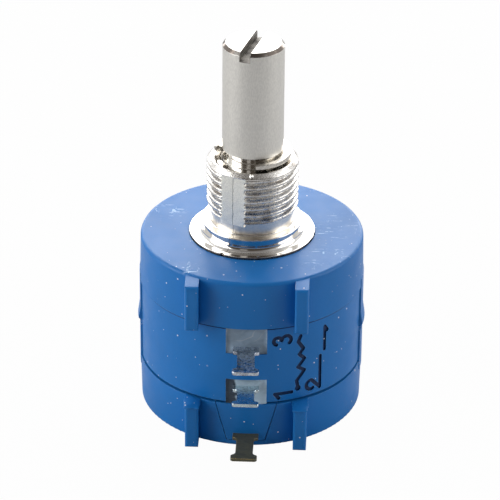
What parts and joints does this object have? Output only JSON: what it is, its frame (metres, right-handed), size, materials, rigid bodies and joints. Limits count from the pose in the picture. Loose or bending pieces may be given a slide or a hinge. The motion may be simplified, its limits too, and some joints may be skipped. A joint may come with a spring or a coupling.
{
  "type": "multiturn potentiometer",
  "caption": "Round panel-mount multiturn wirewound potentiometer with a slotted shaft, threaded bushing and side solder terminals.",
  "frame": {"origin": "centre of the flat rear face, on the shaft's axis", "axes": "+Z along the shaft towards its slotted end, -Y towards the solder terminals"},
  "size_m": [0.0226, 0.0268, 0.0386],
  "materials": {
    "blue_plastic": "semi-gloss moulded",
    "nickel_plate": "bright nickel",
    "tinned_brass": "tinned, rough",
    "bare_brass": "dull brass",
    "grey_resin": "glossy potting",
    "resistance_wire": "close-wound wire",
    "spring_bronze": "satin",
    "shaft_metal": "fine turned",
    "spring_steel": "bright",
    "black_plastic": "moulded",
    "white_plastic": "moulded"
  },
  "bodies": {
    "housing": {"front_cap": "blue_plastic", "housing": "blue_plastic", "rear_cap": "blue_plastic", "terminal_block": "blue_plastic", "bushing": "nickel_plate", "terminal_1": "tinned_brass", "terminal_2": "bare_brass", "terminal_3": "tinned_brass", "upper_potting": "grey_resin", "lower_potting": "grey_resin", "resistance_element": "resistance_wire", "lower_tap": "tinned_brass", "upper_tap": "tinned_brass", "slip_ring_brush": "spring_bronze", "thrust_washer": "shaft_metal"},
    "rotor": {"shaft": "shaft_metal", "retaining_clip": "spring_steel", "rotor": "black_plastic", "slip_ring": "spring_bronze", "collector_bar": "spring_bronze"},
    "carriage": {"carriage": "white_plastic", "wiper": "spring_bronze", "collector_contact": "spring_bronze"}
  },
  "joints": [
    {"name": "shaft_turn", "type": "hinge", "parent": "housing", "child": "rotor", "pos_m": [0, 0, 0], "axis": [0, 0, -1], "range_deg": [0, 3600]},
    {"name": "carriage_slide", "type": "slide", "parent": "rotor", "child": "carriage", "axis": [0, 0, 1], "range_m": [0, 0.0105]}
  ],
  "couplings": [
    {"joint": "carriage_slide", "follows": "shaft_turn", "m_per_rad": 0.00016711}
  ]
}
